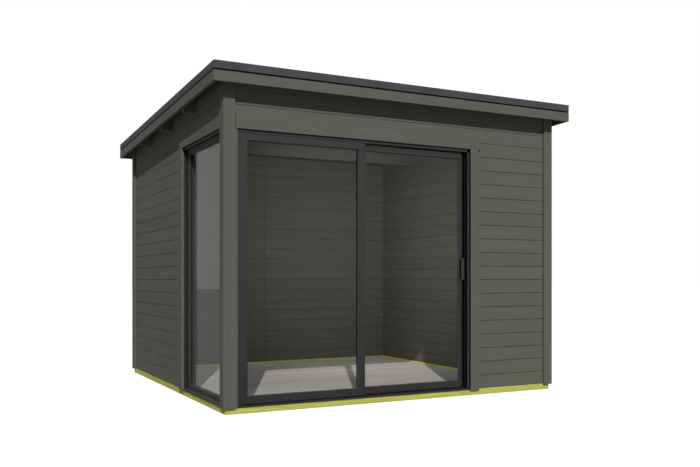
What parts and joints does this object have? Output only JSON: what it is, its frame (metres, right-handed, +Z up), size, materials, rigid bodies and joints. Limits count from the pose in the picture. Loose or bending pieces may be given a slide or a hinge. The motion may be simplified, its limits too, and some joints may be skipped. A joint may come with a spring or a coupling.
{
  "type": "garden house",
  "caption": "Timber garden house with a low mono-pitch roof, horizontal boards, a corner window and a sliding glass door that opens into one hollow room",
  "frame": {"origin": "on the ground in the middle of the house and of its roof", "axes": "+Z up, the front with the sliding door faces -Y, +X to the right seen from the front"},
  "size_m": [3.194, 3.194, 2.481],
  "materials": {
    "painted_boards": "dark olive grey stain on horizontal boards",
    "painted_trim": "dark olive grey stain on smooth planed boards",
    "roof_timber": "dark olive grey stain",
    "impregnated_timber": "yellow green impregnated timber",
    "floor_boards": "grey weathered boards",
    "roof_membrane": "matte black membrane",
    "edge_metal": "satin dark grey",
    "frame_metal": "satin anthracite",
    "glass": "clear tinted",
    "seal": "black",
    "roller": "turned"
  },
  "bodies": {
    "house": {"front_wall": "painted_boards", "front_header": "painted_boards", "left_wall": "painted_boards", "left_header": "painted_boards", "right_wall": "painted_boards", "back_wall": "painted_boards", "corner_post": "painted_trim", "front_left_corner_board": "painted_trim", "front_right_corner_board": "painted_trim", "back_left_corner_board": "painted_trim", "back_right_corner_board": "painted_trim", "door_head_board": "painted_trim", "door_casing": "painted_trim", "window_head_board": "painted_trim", "window_casing": "painted_trim", "front_fascia": "painted_trim", "back_fascia": "painted_trim", "left_fascia": "painted_trim", "right_fascia": "painted_trim", "purlins": "roof_timber", "roof_deck": "roof_timber", "front_beam": "impregnated_timber", "back_beam": "impregnated_timber", "left_beam": "impregnated_timber", "right_beam": "impregnated_timber", "floor_joists": "impregnated_timber", "floor": "floor_boards", "roof_covering": "roof_membrane", "front_edge_trim": "edge_metal", "back_edge_trim": "edge_metal", "left_edge_trim": "edge_metal", "right_edge_trim": "edge_metal", "door_left_jamb": "frame_metal", "door_right_jamb": "frame_metal", "door_head": "frame_metal", "door_sill": "frame_metal", "fixed_leaf_frame": "frame_metal", "window_back_jamb": "frame_metal", "window_front_jamb": "frame_metal", "window_head": "frame_metal", "window_sill": "frame_metal", "window_sash": "frame_metal", "fixed_leaf_glass": "glass", "window_glass": "glass", "closing_seal": "seal"},
    "sliding_leaf": {"sliding_leaf_frame": "frame_metal", "sliding_leaf_glass": "glass", "pull_handle": "frame_metal", "leaf_rollers": "roller"}
  },
  "joints": [
    {"name": "door_slide", "type": "slide", "parent": "house", "child": "sliding_leaf", "axis": [-1, 0, 0], "range_m": [0, 0.907]}
  ]
}
